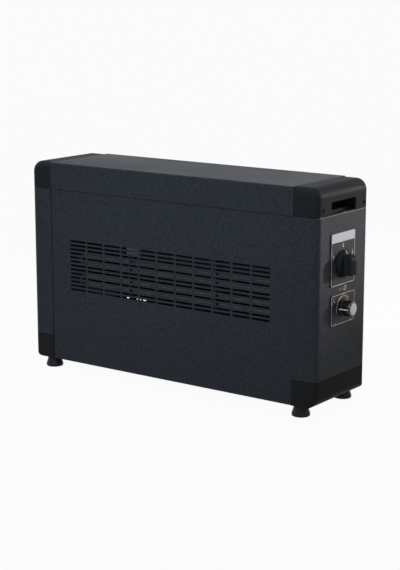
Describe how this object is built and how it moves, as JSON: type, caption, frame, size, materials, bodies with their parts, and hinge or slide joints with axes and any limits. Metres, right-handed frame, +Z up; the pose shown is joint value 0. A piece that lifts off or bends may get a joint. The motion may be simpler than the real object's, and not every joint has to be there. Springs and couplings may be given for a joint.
{
  "type": "fan heater",
  "caption": "Free-standing electric fan heater: long sheet-metal case with moulded end caps, slotted front grille, carrying pockets, levelling feet and a selector and thermostat at one end.",
  "frame": {"origin": "on the floor under the middle of the heater's overall outline, knobs included", "axes": "+X along the case towards the control end, +Y to the rear, away from the grille, +Z up"},
  "size_m": [0.57, 0.1494, 0.3435],
  "materials": {
    "textured_paint": "fine textured powder coat",
    "cap_plastic": "fine grained moulding",
    "foot_plastic": "smooth moulding",
    "galvanised_sheet": "galvanised",
    "plated_steel": "zinc plated",
    "threaded_brass": "machined",
    "control_plate": "printed",
    "knob_plastic": "satin moulding",
    "bright_disc": "spun",
    "switch_moulding": "plain moulding",
    "impeller_alloy": "plain",
    "core_steel": "stacked sheet",
    "coil_tape": "taped winding",
    "bearing_bronze": "sintered",
    "element_steel": "heat darkened",
    "white_ceramic": "glazed",
    "black_bush": "smooth moulding",
    "dark_screw": "blackened",
    "duct_sheet": "heat darkened"
  },
  "bodies": {
    "case": {"base_tray": "textured_paint", "front_panel": "textured_paint", "rear_panel": "textured_paint", "left_end_panel": "textured_paint", "right_end_panel": "textured_paint", "top_cover": "textured_paint", "top_left_cap": "cap_plastic", "top_right_cap": "cap_plastic", "bottom_left_cap": "cap_plastic", "bottom_right_cap": "cap_plastic", "cap_screws": "dark_screw", "base_screws": "dark_screw", "rear_screws": "dark_screw", "foot_inserts": "threaded_brass", "selector_plate": "control_plate", "selector_switch": "switch_moulding", "thermostat_plate": "control_plate", "thermostat_body": "switch_moulding", "left_partition": "duct_sheet", "right_partition": "duct_sheet", "motor_plate": "galvanised_sheet", "fan_scroll": "duct_sheet", "fan_tongue": "duct_sheet", "shaft_bearing": "bearing_bronze", "motor_stator": "core_steel", "motor_coil": "coil_tape", "motor_brackets": "plated_steel", "motor_posts": "plated_steel", "heating_element_lower": "element_steel", "heating_element_upper": "element_steel", "element_supports": "duct_sheet", "element_beads": "white_ceramic", "element_pins": "plated_steel", "cutout_bracket": "galvanised_sheet", "thermal_cutout": "switch_moulding", "terminal_block": "switch_moulding", "cable_bush": "black_bush"},
    "selector": {"selector_shaft": "plated_steel", "selector_knob": "knob_plastic"},
    "thermostat_dial": {"thermostat_spindle": "plated_steel", "thermostat_knob": "knob_plastic", "thermostat_knob_disc": "bright_disc"},
    "fan": {"fan_impeller": "impeller_alloy", "stub_axle": "plated_steel", "motor_shaft": "plated_steel", "motor_rotor": "core_steel"},
    "foot_front_left": {"foot_pad_front_left": "foot_plastic", "foot_stud_front_left": "plated_steel"},
    "foot_front_right": {"foot_pad_front_right": "foot_plastic", "foot_stud_front_right": "plated_steel"},
    "foot_rear_left": {"foot_pad_rear_left": "foot_plastic", "foot_stud_rear_left": "plated_steel"},
    "foot_rear_right": {"foot_pad_rear_right": "foot_plastic", "foot_stud_rear_right": "plated_steel"}
  },
  "joints": [
    {"name": "selector_turn", "type": "hinge", "parent": "case", "child": "selector", "pos_m": [0.265, -0.002, 0.2249], "axis": [1, 0, 0], "range_deg": [-60, 60]},
    {"name": "thermostat_turn", "type": "hinge", "parent": "case", "child": "thermostat_dial", "pos_m": [0.265, 0, 0.1577], "axis": [1, 0, 0], "range_deg": [-225, 45]},
    {"name": "fan_spin", "type": "hinge", "parent": "case", "child": "fan", "pos_m": [0, 0.026, 0.0785], "axis": [1, 0, 0], "continuous": true},
    {"name": "foot_screw_front_left", "type": "slide", "parent": "case", "child": "foot_front_left", "axis": [0, 0, -1], "range_m": [0, 0.01]},
    {"name": "foot_screw_front_right", "type": "slide", "parent": "case", "child": "foot_front_right", "axis": [0, 0, -1], "range_m": [0, 0.01]},
    {"name": "foot_screw_rear_left", "type": "slide", "parent": "case", "child": "foot_rear_left", "axis": [0, 0, -1], "range_m": [0, 0.01]},
    {"name": "foot_screw_rear_right", "type": "slide", "parent": "case", "child": "foot_rear_right", "axis": [0, 0, -1], "range_m": [0, 0.01]}
  ]
}
